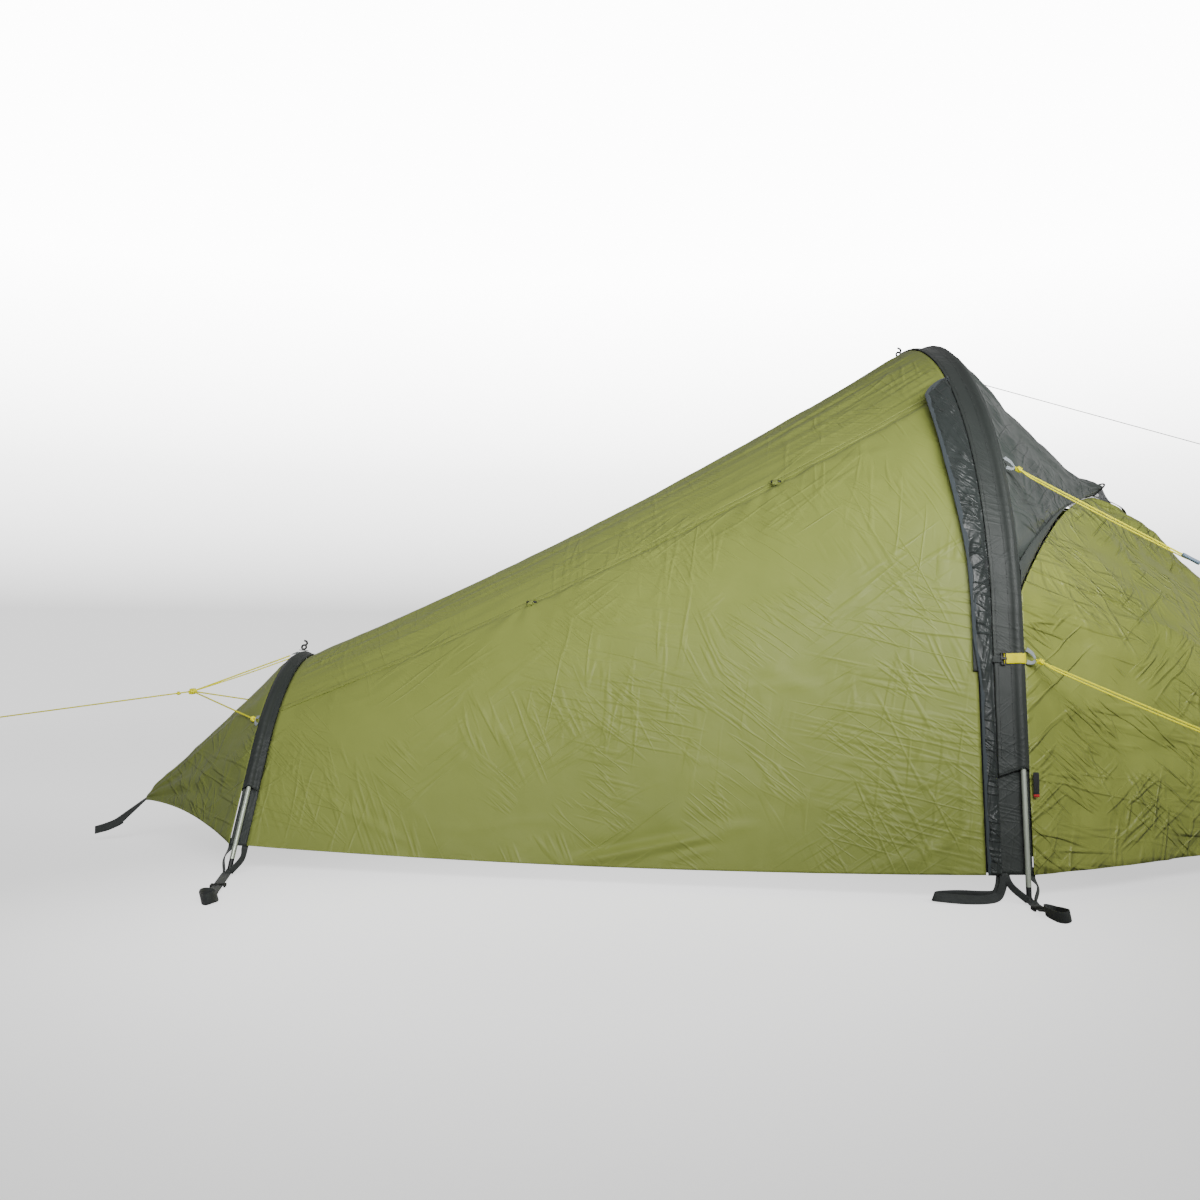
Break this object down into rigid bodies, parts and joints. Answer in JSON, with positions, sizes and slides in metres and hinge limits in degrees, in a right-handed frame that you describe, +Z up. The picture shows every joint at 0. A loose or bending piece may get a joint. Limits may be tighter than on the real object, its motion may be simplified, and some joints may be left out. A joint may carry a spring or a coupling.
{
  "type": "frame tent",
  "caption": "Low two-hoop tunnel tent with a side door, hooded vent, pointed porch and tail, inner tent and taut guy lines.",
  "frame": {"origin": "on the ground under the middle of the tent without its guy lines", "axes": "+X from the tail to the porch tip, +Y to the far side, away from the zipped door, +Z up"},
  "size_m": [3.2605, 1.8628, 1.0575],
  "materials": {
    "fly_green": "satin ripstop",
    "sleeve_grey": "matte woven",
    "hood_grey": "satin",
    "webbing_dark": "woven webbing",
    "pole_alloy": "anodised satin",
    "tip_dark": "matte",
    "elastic": "woven elastic",
    "cord_yellow": "braided",
    "cord_grey": "braided",
    "band_yellow": "woven webbing",
    "tape_grey": "woven",
    "plastic_blue": "matte",
    "plastic_black": "matte",
    "hook_metal": "satin",
    "zip_black": "woven tape with coil",
    "slider_metal": "satin",
    "label_black": "woven",
    "mesh_black": "mesh",
    "inner_cloth": "breathable woven",
    "inner_mesh": "mesh",
    "floor_dark": "coated"
  },
  "bodies": {
    "tent": {"front_pole_tubes": "pole_alloy", "rear_pole_tubes": "pole_alloy", "pole_ferrules": "pole_alloy", "pole_tips": "tip_dark", "pole_shock_cords": "elastic", "front_pole_sleeve": "sleeve_grey", "rear_pole_sleeve": "sleeve_grey", "fly_roof": "fly_green", "fly_side_far": "fly_green", "fly_side_near": "fly_green", "fly_tail": "fly_green", "porch_near": "fly_green", "porch_far": "fly_green", "vent_hood": "hood_grey", "vent_mesh": "mesh_black", "vent_stiffener": "plastic_black", "zip_tape_fixed": "zip_black", "end_straps": "webbing_dark", "foot_straps": "webbing_dark", "front_peg_loops": "webbing_dark", "rear_peg_loops": "webbing_dark", "hem_loops": "webbing_dark", "sleeve_bands": "band_yellow", "sleeve_band_hooks": "plastic_black", "side_label": "label_black", "door_toggles": "webbing_dark", "apex_hooks": "hook_metal", "guy_tapes": "tape_grey", "guy_knots": "cord_yellow", "guy_front_upper_near": "cord_yellow", "guy_front_lower_near": "cord_yellow", "guy_front_upper_far": "cord_yellow", "guy_front_lower_far": "cord_yellow", "guy_rear_near": "cord_yellow", "guy_rear_far": "cord_yellow", "guy_rear_top": "cord_yellow", "guy_rear_main": "cord_yellow", "guy_apex": "cord_grey", "inner_floor_tub": "floor_dark", "inner_wall_far": "inner_cloth", "inner_wall_near": "inner_cloth", "inner_end_walls": "inner_cloth", "inner_roof": "inner_cloth", "inner_hangers": "cord_grey"},
    "door": {"fly_door_panel": "fly_green", "zip_tape_door": "zip_black", "zip_storm_flap": "sleeve_grey"},
    "zip_slider_lower": {"zip_slider_lower": "slider_metal"},
    "zip_slider_upper": {"zip_slider_upper": "slider_metal"},
    "tensioner_front_upper_near": {"tensioner_front_upper_near": "plastic_blue"},
    "tensioner_front_lower_near": {"tensioner_front_lower_near": "plastic_blue"},
    "tensioner_front_upper_far": {"tensioner_front_upper_far": "plastic_blue"},
    "tensioner_front_lower_far": {"tensioner_front_lower_far": "plastic_blue"},
    "tensioner_rear": {"tensioner_rear": "plastic_blue"},
    "front_lock_near": {"front_ladder_lock_near": "plastic_black"},
    "front_lock_far": {"front_ladder_lock_far": "plastic_black"},
    "rear_lock_near": {"rear_ladder_lock_near": "plastic_black"},
    "rear_lock_far": {"rear_ladder_lock_far": "plastic_black"},
    "inner_door": {"inner_door": "inner_mesh"}
  },
  "joints": [
    {"name": "door_fold", "type": "hinge", "parent": "tent", "child": "door", "pos_m": [-1.06243, -0.38238, 0.05742], "axis": [-0.8334, 0.0141, -0.5525], "range_deg": [0, 55]},
    {"name": "lower_zip_slide", "type": "slide", "parent": "tent", "child": "zip_slider_lower", "axis": [0, 0.0785, 0.9969], "range_m": [0, 0.345]},
    {"name": "upper_zip_slide", "type": "hinge", "parent": "tent", "child": "zip_slider_upper", "pos_m": [0.255, 0, 0.41239], "axis": [1, 0, 0], "range_deg": [0, 24]},
    {"name": "front_upper_near_tension", "type": "slide", "parent": "tent", "child": "tensioner_front_upper_near", "axis": [0.8064, -0.2788, -0.5215], "range_m": [-0.25, 0.85]},
    {"name": "front_lower_near_tension", "type": "slide", "parent": "tent", "child": "tensioner_front_lower_near", "axis": [0.8549, -0.316, -0.4115], "range_m": [-0.25, 0.55]},
    {"name": "front_upper_far_tension", "type": "slide", "parent": "tent", "child": "tensioner_front_upper_far", "axis": [0.8064, 0.2788, -0.5215], "range_m": [-0.25, 0.85]},
    {"name": "front_lower_far_tension", "type": "slide", "parent": "tent", "child": "tensioner_front_lower_far", "axis": [0.8549, 0.316, -0.4115], "range_m": [-0.25, 0.55]},
    {"name": "rear_tension", "type": "slide", "parent": "tent", "child": "tensioner_rear", "axis": [0.9911, 0, 0.1331], "range_m": [0, 0.36]},
    {"name": "front_near_strap_adjust", "type": "slide", "parent": "tent", "child": "front_lock_near", "axis": [-0.0461, -0.9989, 0], "range_m": [-0.012, 0.012]},
    {"name": "front_far_strap_adjust", "type": "slide", "parent": "tent", "child": "front_lock_far", "axis": [-0.0461, 0.9989, 0], "range_m": [-0.012, 0.012]},
    {"name": "rear_near_strap_adjust", "type": "slide", "parent": "tent", "child": "rear_lock_near", "axis": [0.1795, -0.9838, 0], "range_m": [-0.04, 0.04]},
    {"name": "rear_far_strap_adjust", "type": "slide", "parent": "tent", "child": "rear_lock_far", "axis": [0.1795, 0.9838, 0], "range_m": [-0.04, 0.04]},
    {"name": "inner_door_fold", "type": "hinge", "parent": "tent", "child": "inner_door", "pos_m": [-0.59958, -0.1264, 0.1014], "axis": [-0.9943, 0.1037, -0.0245], "range_deg": [0, 85]}
  ]
}
